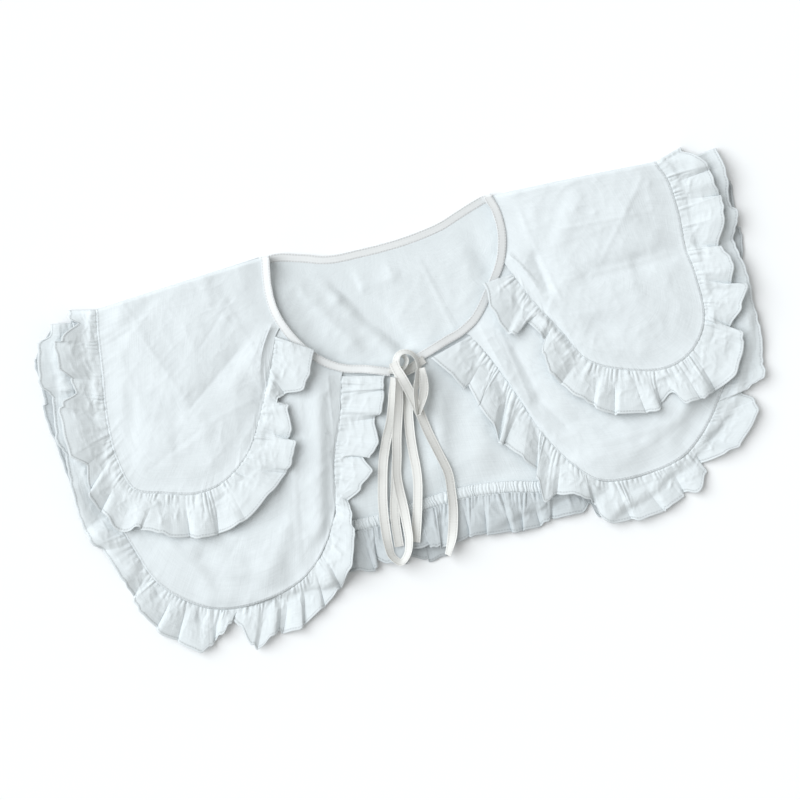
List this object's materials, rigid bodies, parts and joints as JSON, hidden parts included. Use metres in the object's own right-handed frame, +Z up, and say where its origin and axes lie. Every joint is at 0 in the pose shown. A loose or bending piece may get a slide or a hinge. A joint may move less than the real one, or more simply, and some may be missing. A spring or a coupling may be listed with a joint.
{
  "type": "false collar",
  "caption": "Two-tier white cotton capelet collar with gathered ruffles, a bound round neck and a front bow, laid flat, front up and folded at the shoulders.",
  "frame": {"origin": "a point of the flat underside beneath the middle of the back panels, on the surface that the collar lies on", "axes": "+X across the laid collar towards its picture-right shoulder, +Y from the hems towards the back of the neck, +Z up out of the surface, towards the viewer"},
  "size_m": [0.6051, 0.3156, 0.0202],
  "materials": {
    "cotton_panel": "matt plain-weave cotton",
    "cotton_ruffle": "matt gathered plain-weave cotton",
    "cotton_binding": "matt folded cotton, edge-stitched",
    "cotton_tape": "matt folded cotton tape"
  },
  "bodies": {
    "root": {"back_upper_panel": "cotton_panel", "back_upper_ruffle": "cotton_ruffle", "back_lower_panel": "cotton_panel", "back_elastic_casing": "cotton_ruffle", "back_lower_ruffle": "cotton_ruffle", "front_lower_left_panel": "cotton_panel", "front_lower_right_panel": "cotton_panel", "front_lower_left_ruffle": "cotton_ruffle", "front_lower_right_ruffle": "cotton_ruffle", "front_upper_left_panel": "cotton_panel", "front_upper_right_panel": "cotton_panel", "front_upper_left_ruffle": "cotton_ruffle", "front_upper_right_ruffle": "cotton_ruffle", "neck_binding": "cotton_binding", "neck_tie_knot": "cotton_tape", "tie_loop_long": "cotton_tape", "tie_loop_short": "cotton_tape", "tie_end_long": "cotton_tape", "tie_end_short": "cotton_tape", "tie_end_inner": "cotton_tape"}
  },
  "joints": []
}
